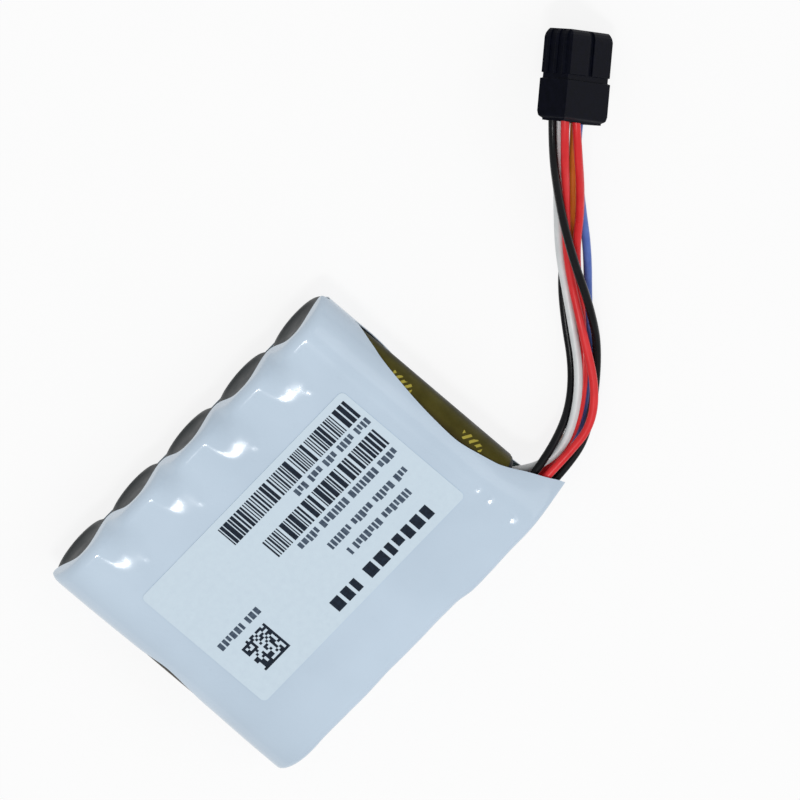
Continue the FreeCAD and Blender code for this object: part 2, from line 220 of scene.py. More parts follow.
def ink_finish(name, dark, pale):
    """Dark printing ink, a little uneven where it took less."""
    finish = Finish(name, roughness=0.5, specular=0.1)
    worn = finish.noise(1400.0, 3.0)
    finish.colour(finish.ramp(worn, (0.35, dark), (0.75, pale)))
    finish.roughness(finish.spread(worn, 0.42, 0.58))
    return finish.material


def can_finish():
    """A can's end, coloured dark slate with a satin gloss; the dark colour is painted shade for the ends that
    lie in shade inside the film's open end.
    """
    finish = Finish("can_lacquer", roughness=0.4, specular=0.13)
    cloud = finish.noise(420.0, 4.0)
    # Painted shade: both colours are dark to stand in for shade, and the cloud between them is uneven tone.
    finish.colour(finish.ramp(cloud, (0.3, linear(27, 32, 34)), (0.72, linear(48, 54, 56))))
    finish.roughness(finish.spread(cloud, 0.32, 0.5))
    finish.bump(finish.noise(2600.0, 2.0), 0.00001, 0.4)
    return finish.material


# The sleeve's map runs from 0 to 1 along each repeat of its pattern, and from 0 to 1 once round it.
GROUP_SHIFT = 0.363
GROUP_HALF = 0.14
DASHES_ALONG = 13.0
DASHES_AROUND = 24.0
DASH_SHARE = 0.5
ROWS_AROUND = 5.0
ROW_HALF = 0.085
SWAY_RATE = 58.0
SWAY = 0.03
# Painted shading round the sleeve, by its turn: dark at its side and underneath, pale olive just above, and a
# darker painted shadow towards the top where the film's edge lies over it.
SLEEVE_PAINTED_SHADING = [
    (0.485, linear(30, 29, 12)), (0.545, linear(88, 83, 38)), (0.61, linear(82, 76, 34)),
    (0.66, linear(50, 41, 30)),
]
SLEEVE_CLOUD = linear(44, 41, 12)
SLEEVE_GOLD = linear(176, 164, 72)


def sleeve_finish():
    """Olive plastic sleeve with groups of slanted gold dashes along it, and with shading painted round it:
    palest on the cable's side, dark at its side and underneath, and a painted shadow where the film lies over
    it.
    """
    finish = Finish("olive_sleeve_painted_shading", roughness=0.4, specular=0.02)
    split = finish.node("ShaderNodeSeparateXYZ")
    finish.link(finish.node("ShaderNodeTexCoord").outputs["UV"], split.inputs["Vector"])
    along = split.outputs["X"]
    turn = split.outputs["Y"]
    in_group = finish.near_middle(finish.plus(along, GROUP_SHIFT), GROUP_HALF)
    slant = finish.plus(finish.times(along, DASHES_ALONG), finish.times(turn, DASHES_AROUND))
    dash = finish.math("LESS_THAN", finish.math("FRACT", slant), DASH_SHARE)
    sway = finish.times(finish.math("SINE", finish.times(along, SWAY_RATE)), SWAY)
    raised = finish.plus(finish.times(turn, ROWS_AROUND), sway)
    in_row = finish.near_middle(finish.plus(raised, REPEAT_MIDDLE), ROW_HALF)
    gold = finish.times(finish.times(in_group, dash), in_row)
    cloud = finish.noise(300.0, 3.0)
    # Painted shading: the sleeve's colour darkens and lightens round its turn as light and shade would.
    shade = finish.ramp(turn, *SLEEVE_PAINTED_SHADING)
    olive = finish.blend(finish.spread(cloud, 0.0, 0.4), shade, SLEEVE_CLOUD)
    finish.colour(finish.blend(gold, olive, SLEEVE_GOLD))
    finish.roughness(finish.spread(cloud, 0.24, 0.36))
    return finish.material


def tinned_finish():
    """Dull tin on leads, solder and posts."""
    finish = Finish("tinned_metal", roughness=0.35, metallic=0.9)
    mottle = finish.noise(1500.0, 4.0)
    finish.colour(finish.ramp(mottle, (0.3, linear(168, 170, 168)), (0.7, linear(206, 206, 200))))
    finish.roughness(finish.spread(mottle, 0.26, 0.46))
    finish.bump(mottle, 0.00002, 0.4)
    return finish.material


def terminal_finish():
    """Pale brass on the plug's contacts."""
    finish = Finish("terminal_metal", roughness=0.3, metallic=0.95)
    mottle = finish.noise(1600.0)
    finish.colour(finish.ramp(mottle, (0.3, linear(176, 160, 118)), (0.7, linear(206, 194, 158))))
    return finish.material


def board_finish():
    """Green solder mask over faint tracks."""
    finish = Finish("solder_mask", roughness=0.35)
    tracks = finish.node("ShaderNodeTexBrick")
    tracks.inputs["Scale"].default_value = 400.0
    tracks.inputs["Mortar Size"].default_value = 0.03
    tracks.inputs["Color1"].default_value = (*linear(22, 82, 48), 1.0)
    tracks.inputs["Color2"].default_value = (*linear(18, 72, 42), 1.0)
    tracks.inputs["Mortar"].default_value = (*linear(40, 108, 62), 1.0)
    finish.link(finish.place, tracks.inputs["Vector"])
    finish.colour(tracks.outputs["Color"])
    finish.roughness(finish.spread(finish.noise(700.0), 0.28, 0.42))
    return finish.material


def speckled_finish(name, dark, pale, scale, rough, height=0.00001, specular=0.5):
    """A moulded or pressed surface whose colour, gloss and grain vary a little."""
    finish = Finish(name, roughness=rough, specular=specular)
    grain = finish.noise(scale, 4.0, 0.6)
    finish.colour(finish.ramp(grain, (0.32, dark), (0.7, pale)))
    finish.roughness(finish.spread(grain, rough - 0.07, rough + 0.08))
    finish.bump(finish.noise(scale * 3, 2.0), height, 0.4)
    return finish.material


def insulation_finish(name, deep, pale, rough=0.33, specular=0.3):
    """Smooth wire insulation with slight shade and gloss changes."""
    finish = Finish(name, roughness=rough, specular=specular)
    shade = finish.noise(260.0, 3.0)
    finish.colour(finish.ramp(shade, (0.3, deep), (0.72, pale)))
    finish.roughness(finish.spread(finish.noise(900.0), rough - 0.06, rough + 0.08))
    finish.bump(finish.noise(1800.0, 2.0), 0.00001, 0.3)
    return finish.material


FILM = film_finish()
LABEL = label_finish()
INK = ink_finish("label_ink", linear(14, 24, 38), linear(34, 46, 62))
THIN_INK = ink_finish("label_thin_ink", linear(58, 72, 90), linear(92, 106, 122))
CAN = can_finish()
SLEEVE = sleeve_finish()
TIN = tinned_finish()
TERMINAL = terminal_finish()
BOARD = board_finish()
CHIP = speckled_finish("chip_resin", linear(24, 24, 25), linear(36, 36, 37), 1800.0, 0.5)
CERAMIC = speckled_finish("capacitor_ceramic", linear(142, 110, 76), linear(166, 132, 94), 1500.0, 0.45)
SHEET = speckled_finish("insulating_sheet", linear(160, 122, 58), linear(180, 142, 74), 500.0, 0.4)
PLUG = speckled_finish("plug_plastic", linear(3, 5, 14), linear(8, 10, 24), 1100.0, 0.36, 0.00002, 0.06)
BLACK = insulation_finish("black_insulation", linear(7, 8, 10), linear(15, 16, 20), 0.28, 0.2)
RED = insulation_finish("red_insulation", linear(208, 32, 38), linear(224, 46, 50))
ORANGE = insulation_finish("orange_insulation", linear(206, 108, 32), linear(220, 122, 42))
BLUE = insulation_finish("blue_insulation", linear(78, 104, 180), linear(98, 126, 198))
WHITE = insulation_finish("white_insulation", linear(208, 212, 213), linear(224, 227, 228), specular=0.5)


# Making pieces

def add_object(name, data):
    """Puts new data into the scene as an object."""
    made = bpy.data.objects.new(name, data)
    bpy.context.scene.collection.objects.link(made)
    return made


def piece(name, bm, material, nodes=(), smooth=True):
    """Finishes a mesh in millimetres as a piece of the part."""
    bmesh.ops.scale(bm, vec=(MM, MM, MM), verts=bm.verts)
    mesh = bpy.data.meshes.new(name)
    for face in bm.faces:
        face.smooth = smooth
    bm.to_mesh(mesh)
    bm.free()
    mesh.materials.append(material)
    made = add_object(name, mesh)
    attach(made, "root")
    if nodes:
        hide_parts(*nodes)
    return made


def dress(node, material):
    """Gives a CAD node its finish."""
    for slot in bpy.data.objects[node].material_slots:
        slot.material = material


def eased(points, at):
    """A smooth curve through (place, value) points."""
    if at <= points[0][0]:
        return points[0][1]
    slopes = [0.0]
    for (x0, y0), (x1, y1), (x2, y2) in zip(points, points[1:], points[2:]):
        level = (y1 - y0) * (y2 - y1) <= 0
        slopes.append(0.0 if level else (y2 - y0) / (x2 - x0))
    slopes.append(0.0)
    for index, ((x0, y0), (x1, y1)) in enumerate(zip(points, points[1:])):
        if at <= x1:
            width = x1 - x0
            t = (at - x0) / width
            start = slopes[index] * width * t * (1 - t) ** 2
            end = slopes[index + 1] * width * t * t * (t - 1)
            return y0 + (y1 - y0) * t * t * (3 - 2 * t) + start + end
    return points[-1][1]


def rounded_card(node, axis, corner, segments):
    """A node's flat box with the four corners seen along an axis cut round."""
    low, high = node_box(node)
    size = high - low
    bm = bmesh.new()
    bmesh.ops.create_cube(bm, size=1.0)
    bmesh.ops.scale(bm, vec=size, verts=bm.verts)
    bmesh.ops.translate(bm, vec=(high + low) / 2, verts=bm.verts)
    corners = []
    for edge in bm.edges:
        first, second = edge.verts
        if abs(first.co[axis] - second.co[axis]) > size[axis] / 2:
            corners.append(edge)
    bmesh.ops.bevel(
        bm, geom=corners, offset=corner, affect="EDGES", segments=segments, profile=0.5, material=-1,
    )
    return bm


# Camera

CAMERA_ACROSS = Vector((-0.6752, 0.7372, 0.0247))
CAMERA_DOWN = Vector((0.6956, 0.6252, 0.3539))
CAMERA_TARGET = Vector((-27.4, -3.7, 7.0))
CAMERA_LENS = 1397.9
CAMERA_SENSOR = 36.0
CAMERA_AWAY = 5.0
CAMERA_SEES = 20.0


def aim_camera():
    """The photograph's view: from above, past the cable, with the pack's far end lowest."""
    across = CAMERA_ACROSS.normalized()
    down = CAMERA_DOWN.normalized()
    ahead = across.cross(down)
    data = bpy.data.cameras.new("studio_camera")
    data.sensor_width = CAMERA_SENSOR
    data.lens = CAMERA_LENS
    data.clip_end = CAMERA_SEES
    camera = add_object("studio_camera", data)
    turn = Matrix((across, -down, -ahead)).transposed().to_4x4()
    camera.matrix_world = Matrix.Translation(CAMERA_TARGET * MM - ahead * CAMERA_AWAY) @ turn
    bpy.context.scene.camera = camera


aim_camera()


# Plug

PLUG_HEADING = math.radians(216.4)
PLUG_DIP = math.radians(22.0)
PLUG_ROLL = math.radians(138.0)
PLUG_TURN = (
    Matrix.Rotation(PLUG_HEADING, 3, "Z") @ Matrix.Rotation(math.pi / 2 + PLUG_DIP, 3, "Y")
    @ Matrix.Rotation(PLUG_ROLL, 3, "Z")
)
PLUG_EDGE = 0.13
PLUG_EDGE_STEPS = 3
PLUG_MERGE = 0.002
FLAT_ANGLE = math.radians(2)
SHARP_ANGLE = math.radians(25)
# How far the moulding's outside is drawn in at each distance from its ends.
END_ROUND = [(0.0, 0.8), (0.12, 0.58), (0.35, 0.34), (0.8, 0.12), (1.4, 0.0)]
SOCKET_WALL = 0.08


def straight(node):
    """A node of the plug in millimetres, turned back into the plug's own axes."""
    bm = bmesh.new()
    bm.from_mesh(bpy.data.objects[node].data)
    bmesh.ops.scale(bm, vec=(1 / MM, 1 / MM, 1 / MM), verts=bm.verts)
    bmesh.ops.rotate(bm, matrix=PLUG_TURN.transposed(), verts=bm.verts)
    return bm


def reach(bm, axis):
    """A mesh's lowest and highest places along an axis."""
    places = [vert.co[axis] for vert in bm.verts]
    return min(places), max(places)


def round_ends(bm, sockets):
    """Draws the moulding's outer edges in towards its two ends, clear of the sockets."""
    low, high = reach(bm, Z_AXIS)
    for back, _ in END_ROUND[1:]:
        for level in (low + back, high - back):
            everything = bm.verts[:] + bm.edges[:] + bm.faces[:]
            bmesh.ops.bisect_plane(bm, geom=everything, plane_co=(0, 0, level), plane_no=(0, 0, 1))
    for vert in bm.verts:
        draw = eased(END_ROUND, min(vert.co.z - low, high - vert.co.z))
        for axis, (near, far) in enumerate(sockets):
            if vert.co[axis] > far + SOCKET_WALL:
                vert.co[axis] = max(vert.co[axis] - draw, far + SOCKET_WALL)
            elif vert.co[axis] < near - SOCKET_WALL:
                vert.co[axis] = min(vert.co[axis] + draw, near - SOCKET_WALL)


def plug_shell():
    """The plug's moulding: the solid's own faces with their edges eased and its ends rounded."""
    dividers = straight("plug_dividers")
    sockets = [reach(dividers, X_AXIS), reach(dividers, Y_AXIS)]
    dividers.free()
    bm = straight("plug_housing")
    bmesh.ops.remove_doubles(bm, verts=bm.verts, dist=PLUG_MERGE)
    bmesh.ops.dissolve_limit(bm, angle_limit=FLAT_ANGLE, verts=bm.verts, edges=bm.edges)
    sharp = [edge for edge in bm.edges if edge.is_manifold and edge.calc_face_angle(0.0) > SHARP_ANGLE]
    bmesh.ops.bevel(
        bm, geom=sharp, offset=PLUG_EDGE, offset_type="OFFSET", affect="EDGES", segments=PLUG_EDGE_STEPS,
        profile=0.5, material=-1, clamp_overlap=False,
    )
    round_ends(bm, sockets)
    bmesh.ops.rotate(bm, matrix=PLUG_TURN, verts=bm.verts)
    return piece("plug_moulding", bm, PLUG, ["plug_housing"], smooth=False)


PLUG_PIECES = [plug_shell(), bpy.data.objects["plug_dividers"], bpy.data.objects["crimp_terminals"]]


# Wires

WIRE_DIAMETER = 1.4
# Each wire's finish, slot, length, and points from the board to the plug.
WIRES = {
    "black_wire_1": (BLACK, "black_insulation", 84.5, [
        (-25.8, 23.7, 8.7), (-37.5, 24.5, 6.5), (-44.0, 23.0, 3.0), (-53.5, 16.0, 1.5), (-59.0, 9.0, 5.0),
        (-63.5, 1.0, 6.0), (-69.0, -7.0, 7.5), (-78.0, -17.5, 14.0), (-85.3, -23.5, 10.5)]),
    "black_wire_2": (BLACK, "black_insulation", 76.5, [
        (-29.0, 20.7, 8.7), (-37.0, 20.5, 8.0), (-46.5, 17.5, 2.0), (-56.0, 5.5, 0.6),
        (-62.0, 0.5, 1.0), (-68.0, -6.0, 2.5), (-78.5, -15.0, 11.0), (-86.0, -20.7, 7.7)]),
    "red_wire_1": (RED, "red_insulation", 82.5, [
        (-27.4, 22.2, 8.7), (-36.5, 22.5, 8.5), (-47.5, 22.0, 7.0), (-57.0, 8.0, 3.5),
        (-63.0, 0.0, 4.0), (-69.5, -6.0, 5.5), (-80.0, -16.5, 15.5), (-86.9, -22.3, 12.1)]),
    "red_wire_2": (RED, "red_insulation", 81.0, [
        (-27.4, 22.2, 4.7), (-37.5, 23.0, 5.2), (-47.0, 19.0, 3.5), (-57.5, 8.5, 1.7),
        (-63.5, 1.5, 3.0), (-71.5, -4.5, 5.5), (-81.0, -14.5, 14.0), (-87.2, -20.9, 10.7)]),
    "orange_wire": (ORANGE, "orange_insulation", 75.5, [
        (-29.0, 20.7, 4.7), (-36.5, 23.2, 2.0), (-45.5, 20.0, 0.6), (-56.5, 8.0, 1.0),
        (-63.5, 1.5, 0.5), (-69.5, -4.5, 3.5), (-79.0, -13.5, 10.0), (-86.3, -19.2, 6.4)]),
    "blue_wire": (BLUE, "blue_insulation", 79.0, [
        (-25.8, 23.7, 4.7), (-37.5, 24.5, 3.5), (-46.5, 21.0, 0.6), (-58.0, 9.5, 1.0),
        (-65.0, 3.0, 1.0), (-70.5, -3.5, 3.0), (-79.0, -13.0, 7.5), (-86.7, -17.8, 5.0)]),
    "white_wire": (WHITE, "white_insulation", 77.5, [
        (-29.6, 18.0, 5.3), (-35.5, 23.0, 7.0), (-47.5, 18.0, 4.5), (-57.0, 6.0, 2.5),
        (-62.0, -0.5, 3.0), (-68.0, -6.5, 4.5), (-78.5, -16.5, 12.5), (-85.6, -22.1, 9.1)]),
}


def lay_wire(node, material, points):
    """One insulated wire from the board, out at the pack's corner, to the plug."""
    data = bpy.data.curves.new(node + "_run", "CURVE")
    data.dimensions = "3D"
    data.bevel_depth = WIRE_DIAMETER / 2 * MM
    data.bevel_resolution = 4
    data.use_fill_caps = True
    data.resolution_u = 14
    spline = data.splines.new("NURBS")
    spline.points.add(len(points) - 1)
    for point, place in zip(spline.points, points):
        point.co = (*(Vector(place) * MM), 1.0)
    spline.use_endpoint_u = True
    spline.order_u = 3
    data.materials.append(material)
    made = add_object(node + "_run", data)
    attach(made, "root")
    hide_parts(node)


for node, (material, slot, length, points) in WIRES.items():
    lay_wire(node, material, points)


# Shrink film

FILM_WALL = 0.15
FRONT_ROUND = 1.6
FRONT_TAPER = 0.5
BACK_ROUND = 1.3
CORNER_ROUND = 2.2
# How far the film's edges lie in from its sides, flare out at the cable's corner, draw in on the far side
# and bulge at the back, as (place, distance) points.
EXIT_SIDE = [(-17.5, 0.0), (-14.2, 0.43), (-11.5, 0.97), (-7.3, 1.6), (-3.0, 2.15), (1.5, 2.55), (5.8, 2.75),
             (11.9, 2.0), (17.9, 1.0), (21.9, 0.7), (25.2, 0.25)]
EXIT_FLOOR_SIDE = [(-18.5, 0.0), (5.0, 3.0), (25.2, 1.2)]
EXIT_FLARE = [(14.0, 0.0), (25.2, 2.8)]
FAR_SIDE = [(-13.0, 0.0), (-7.0, 0.48), (-1.5, 1.43), (4.5, 0.83), (11.0, 0.0)]
FAR_DRAW = [(-20.0, 0.0), (-6.0, 0.17), (9.0, 0.17), (19.0, 0.0)]
BACK_BULGE = [(-34.0, 0.2), (-24.0, 0.45), (-13.0, 0.6), (-8.5, 0.0)]
BULGE_EASE = [(20.0, 0.0), (24.5, 1.0)]
BULGE_RIPPLE = 0.12
BULGE_RIPPLE_RATE = 0.2
VALLEY_SHARPNESS = 1.4
SPOON_DEPTH = 1.4
SPOON_WIDTH = 4.1
SPOON_LENGTH = 8.3
SPOON_START = 0.3
SPOON_SQUARENESS = 3.2
SPOON_FADE = 1.5
# Small puckers beside the dips, then near the cable's corner: x, y, radius and depth.
PUCKERS = [(x - 7.65, -17.5, 0.55, 0.12) for x in CELL_XS[1:]] + [
    (-26.0, 13.9, 0.5, 0.14), (-26.0, 16.6, 0.5, 0.17), (-26.0, 21.4, 0.6, 0.18)]
PUCKER_REACH = 3
BACK_SAG = 0.3
BACK_SAG_EASE = [(19.0, 0.0), (24.0, 1.0)]
# A slow ripple that fades out beneath the label.
RIPPLE = 0.07
RIPPLE_RATE = 0.16
CLEAR_ACROSS = [(24.5, 0.0), (30.0, 1.0)]
CLEAR_ALONG = [(14.0, 0.0), (18.0, 1.0)]
VALLEY_INSET = 0.1
VALLEY_INSET_EASE = [(FILM_LOW.y, 1.0), (-22.0, 0.0)]
FUNNEL_DEPTH = 2.2
FUNNEL_LENGTH = 4.5
LIP_CROWN = 10.9
LIP_DROP = 4.8
LIP_CURL = 0.06
LIP_TAPER = 0.012
LIP_SIDE_DROP = [(CELL_XS[-1], 0.0), (HALF_WIDTH, 1.0)]
LIP_ROWS = 7
FRONT_ROWS = 9
TOP_ROWS = 92
BACK_ROWS = 10
WALL_ROWS = 9
FIRST_TOP_ROW = LIP_ROWS + FRONT_ROWS
ARC_STEPS = 22
FLAT_STEPS = 110
FLOOR_FLAT_STEPS = 40
FILM_MERGE = 0.004
SLIVER = 0.0005

FilmRow = namedtuple("FilmRow", "kind share y height width")


def valley(x):
    """How far x is into the dip between two cells, from 0 at a crown to 1 in the dip."""
    nearest = min(abs(x - middle) for middle in VALLEY_XS)
    share = min(nearest / (CELL_PITCH / 2), 1.0)
    return (0.5 + 0.5 * math.cos(math.pi * share)) ** VALLEY_SHARPNESS


def spoon(x, y):
    """The depth of the spoon-shaped dip that the film draws between two cells' front ends."""
    nearest = min(abs(x - middle) for middle in VALLEY_XS) / SPOON_WIDTH
    along = (y - FILM_LOW.y + SPOON_START) / SPOON_LENGTH
    apart = (nearest ** SPOON_SQUARENESS + along ** SPOON_SQUARENESS) ** (1 / SPOON_SQUARENESS)
    return SPOON_DEPTH * max(1 - apart, 0.0) ** SPOON_FADE


def pucker(x, y):
    """The depth of the small puckers at a place."""
    depth = 0.0
    for middle_x, middle_y, radius, deep in PUCKERS:
        apart = math.hypot(x - middle_x, y - middle_y) / radius
        if apart < PUCKER_REACH:
            depth += deep * math.exp(-apart * apart)
    return depth


def film_rows():
    """The rows across the film, from its front lip over the top to the middle of its back."""
    rows = []
    for step in range(LIP_ROWS):
        rows.append(FilmRow(
            "lip", step / LIP_ROWS, FILM_LOW.y, HALF_HEIGHT - FRONT_ROUND, HALF_WIDTH - FRONT_TAPER,
        ))
    for step in range(FRONT_ROWS):
        turn = math.pi / 2 * (1 - step / FRONT_ROWS)
        rows.append(FilmRow(
            "round", 1.0, FILM_LOW.y + FRONT_ROUND * (1 - math.sin(turn)),
            HALF_HEIGHT - FRONT_ROUND * (1 - math.cos(turn)), HALF_WIDTH - FRONT_TAPER * (1 - math.cos(turn)),
        ))
    first = FILM_LOW.y + FRONT_ROUND
    last = FILM_HIGH.y - BACK_ROUND
    for step in range(TOP_ROWS + 1):
        rows.append(FilmRow("top", 1.0, first + (last - first) * step / TOP_ROWS, HALF_HEIGHT, HALF_WIDTH))
    for step in range(1, BACK_ROWS + 1):
        turn = math.pi / 2 * step / BACK_ROWS
        rows.append(FilmRow(
            "round", 1.0, last + BACK_ROUND * math.sin(turn),
            HALF_HEIGHT - BACK_ROUND * (1 - math.cos(turn)), HALF_WIDTH - CORNER_ROUND * (1 - math.cos(turn)),
        ))
    for step in range(1, WALL_ROWS + 1):
        height = (HALF_HEIGHT - BACK_ROUND) * (1 - step / WALL_ROWS)
        rows.append(FilmRow("wall", 1.0, FILM_HIGH.y, height, HALF_WIDTH - CORNER_ROUND))
    return rows


FILM_ROWS = film_rows()


def across_film(column, flat_steps, y, width, exit_side):
    """A column's x, and its share of the row's half height, on one row."""
    end = width - HALF_HEIGHT
    exit_end = end if y < 0 else HALF_WIDTH - HALF_HEIGHT
    if column <= ARC_STEPS:
        low = math.acos(1 - eased(exit_side, y) / HALF_HEIGHT)
        turn = low + (math.pi / 2 - low) * column / ARC_STEPS
        return -exit_end - HALF_HEIGHT * math.cos(turn), math.sin(turn)
    column -= ARC_STEPS
    if column < flat_steps:
        return -exit_end + (end + exit_end) * column / flat_steps, 1.0
    column -= flat_steps
    low = math.acos(1 - eased(FAR_SIDE, y) / HALF_HEIGHT)
    turn = math.pi / 2 - (math.pi / 2 - low) * column / ARC_STEPS
    return end + HALF_HEIGHT * math.cos(turn), math.sin(turn)


def film_top_point(column, row):
    """A grid point's place on the film's upper half and front lip."""
    kind, share, y, height, width = FILM_ROWS[row]
    x, rise = across_film(column, FLAT_STEPS, y, width, EXIT_SIDE)
    dip = valley(x) if abs(x) < CELL_XS[-1] else 0.0
    sag = BACK_SAG * dip * eased(BACK_SAG_EASE, y)
    z = MIDDLE + height * rise - rise * (spoon(x, y) + pucker(x, y) + sag)
    funnel = max(1 - (y - FILM_LOW.y) / FUNNEL_LENGTH, 0.0) ** 2
    z -= FUNNEL_DEPTH * rise * funnel * dip ** 3
    clear = min(eased(CLEAR_ACROSS, abs(x)) + eased(CLEAR_ALONG, abs(y)), 1.0)
    z += RIPPLE * clear * rise * noise.noise(Vector((x * RIPPLE_RATE, y * RIPPLE_RATE, 2.0)))
    y += VALLEY_INSET * dip * eased(VALLEY_INSET_EASE, y)
    if column < ARC_STEPS:
        hang = height / (HALF_HEIGHT - BACK_ROUND) if kind == "wall" else 1.0
        x -= hang * eased(EXIT_FLARE, y) * (1 - column / ARC_STEPS) ** 2
    past = column - ARC_STEPS - FLAT_STEPS
    if past > 0:
        x -= eased(FAR_DRAW, y) * past / ARC_STEPS
    ripple = BULGE_RIPPLE * noise.noise(Vector((x * BULGE_RIPPLE_RATE, 3.0, 1.0)))
    y += (eased(BACK_BULGE, x) + ripple) * eased(BULGE_EASE, y)
    if kind == "lip":
        drop = dip if abs(x) < CELL_XS[-1] else eased(LIP_SIDE_DROP, abs(x))
        edge = LIP_CROWN - LIP_DROP * drop
        z = edge + (z - edge) * share
        x *= 1 - LIP_TAPER * (1 - share)
        y += LIP_CURL * (1 - share) ** 2
    return x, y, z


def film_floor_point(column, row):
    """A grid point's place on the film's plain lower half."""
    level = FILM_ROWS[row + FIRST_TOP_ROW]
    columns = 2 * ARC_STEPS + FLOOR_FLAT_STEPS
    x, rise = across_film(columns - column, FLOOR_FLAT_STEPS, level.y, level.width, EXIT_FLOOR_SIDE)
    return x, level.y, MIDDLE - level.height * rise


def film_sheet(bm, columns, rows, place):
    """One half of the film: a flat grid laid over the pack."""
    grid = bmesh.ops.create_grid(bm, x_segments=columns, y_segments=rows, size=1.0)
    for vert in grid["verts"]:
        column = round((vert.co.x + 1) / 2 * columns)
        row = round((vert.co.y + 1) / 2 * rows)
        vert.co = place(column, row)


def shrink_film():
    """The film: its two halves joined at the back and the sides, and given a wall."""
    bm = bmesh.new()
    film_sheet(bm, 2 * ARC_STEPS + FLAT_STEPS, len(FILM_ROWS) - 1, film_top_point)
    film_sheet(bm, 2 * ARC_STEPS + FLOOR_FLAT_STEPS, len(FILM_ROWS) - 1 - FIRST_TOP_ROW, film_floor_point)
    bmesh.ops.remove_doubles(bm, verts=bm.verts, dist=FILM_MERGE)
    bmesh.ops.dissolve_degenerate(bm, edges=bm.edges, dist=SLIVER)
    for edge in bm.edges:
        edge.smooth = not edge.is_boundary
    made = piece("shrink_film", bm, FILM, ["wrap_film"])
    wall = made.modifiers.new("film_wall", "SOLIDIFY")
    wall.thickness = FILM_WALL * MM
    wall.offset = -1.0


shrink_film()


# Label and its print

LABEL_CORNER = 0.9
LABEL_CORNER_STEPS = 5
PRINT_RISE = 0.015
BAR_WIDTHS = (0.22, 0.22, 0.38, 0.38, 0.6, 0.85)
BAR_GAPS = (0.18, 0.18, 0.28, 0.28, 0.5)
# Where each bar code starts and ends, its low edge and its height.
BAR_CODES = [(-22.9, 7.2, -12.2, 3.9), (-22.5, 3.9, -5.4, 3.7)]
# Where each line starts and ends, its low edge, its height and its widest block.
BOLD_LINE = (-18.5, 5.0, 9.6, 2.3, 2.0)
SMALL_LINES = [
    (-23.2, -5.3, -7.7, 1.35, 0.85), (-22.3, 1.1, -1.0, 1.4, 0.85), (-21.0, -2.6, 2.5, 1.4, 0.85),
    (-18.6, -4.3, 5.4, 1.4, 0.85), (12.7, 22.4, 1.2, 1.35, 0.9),
]
# The square code's low corner, its count of cells each way and their size.
SQUARE_CODE = (13.9, 4.1, 13, 0.45)
# Blocks in a group, and shares of the widest block and of the line's height.
FEWEST_BLOCKS = 3
MOST_BLOCKS = 7
NARROWEST = 0.55
BLOCK_GAP = 0.3
GROUP_GAP = 0.7
BLOCK_HEIGHTS = (0.8, 1.0, 1.0)


def print_block(bm, x, y, width, height):
    """One printed block on the label, from its low corner."""
    made = bmesh.ops.create_cube(bm, size=1.0)["verts"]
    bmesh.ops.scale(bm, vec=(width, height, PRINT_RISE), verts=made)
    bmesh.ops.translate(bm, vec=(x + width / 2, y + height / 2, LABEL_TOP + PRINT_RISE / 2), verts=made)


def bar_code(bm, chance, start, end, y, height):
    """Bars of four widths, with gaps of three."""
    x = start
    while x < end:
        width = chance.choice(BAR_WIDTHS)
        print_block(bm, x, y, min(width, end - x), height)
        x += width + chance.choice(BAR_GAPS)


def plain_line(bm, chance, start, end, y, height, widest):
    """A line of plain blocks in groups, where a label has a line of print."""
    x = start
    left = chance.randint(FEWEST_BLOCKS, MOST_BLOCKS)
    while x < end:
        width = widest * chance.uniform(NARROWEST, 1.0)
        if x + width > end:
            break
        print_block(bm, x, y, width, height * chance.choice(BLOCK_HEIGHTS))
        x += width + widest * BLOCK_GAP
        left -= 1
        if left == 0:
            x += widest * GROUP_GAP
            left = chance.randint(FEWEST_BLOCKS, MOST_BLOCKS)


def square_code(bm, chance, x, y, cells, cell):
    """A square of small cells with a solid edge on two sides."""
    for column in range(cells):
        for row in range(cells):
            solid = column == 0 or row == cells - 1
            if solid or chance.random() < 0.5:
                print_block(bm, x + column * cell, y + row * cell, cell, cell)


def label_sheet():
    """The label's paper."""
    bm = rounded_card("label", Z_AXIS, LABEL_CORNER, LABEL_CORNER_STEPS)
    piece("label_sheet", bm, LABEL, ["label"], smooth=False)


def label_print():
    """The bar codes, the bold line and the square code."""
    bm = bmesh.new()
    chance = random.Random(5)
    for code in BAR_CODES:
        bar_code(bm, chance, *code)
    plain_line(bm, chance, *BOLD_LINE)
    square_code(bm, chance, *SQUARE_CODE)
    piece("label_print", bm, INK, smooth=False)


def label_small_print():
    """The thinner lines beside each code."""
    bm = bmesh.new()
    chance = random.Random(8)
    for line in SMALL_LINES:
        plain_line(bm, chance, *line)
    piece("label_small_print", bm, THIN_INK, smooth=False)


label_sheet()
label_print()
label_small_print()


# Cells

TURN_STEPS = 96
TURN_MERGE = 0.001
# The can's closed end from its middle out: radius, and depth behind the front.
CAN_END = [(0, 0.18), (4.2, 0.18), (4.6, 0.0), (5.35, 0.0), (5.75, 0.1), (6.05, 0.32), (6.2, 0.6)]
CAN_SHOULDER = 1.0
CAN_BACK_EDGE = 0.5
SLEEVE_GAP = 0.02
SLEEVE_EDGE_IN = 0.04
SLEEVE_EDGE_BACK = 0.05
SLEEVE_REPEAT = 15.3


def turned_body(profile, x):
    """A body turned about a cell's axis from (radius, y) points."""
    bm = bmesh.new()
    verts = [bm.verts.new((x + radius, y, MIDDLE)) for radius, y in profile]
    edges = [bm.edges.new(pair) for pair in zip(verts, verts[1:])]
    bmesh.ops.spin(
        bm, geom=verts + edges, cent=(x, 0, MIDDLE), axis=(0, 1, 0), angle=2 * math.pi, steps=TURN_STEPS,
        use_merge=True,
    )
    bmesh.ops.remove_doubles(bm, verts=bm.verts, dist=TURN_MERGE)
    bmesh.ops.dissolve_degenerate(bm, edges=bm.edges, dist=SLIVER)
    bmesh.ops.recalc_face_normals(bm, faces=bm.faces)
    return bm


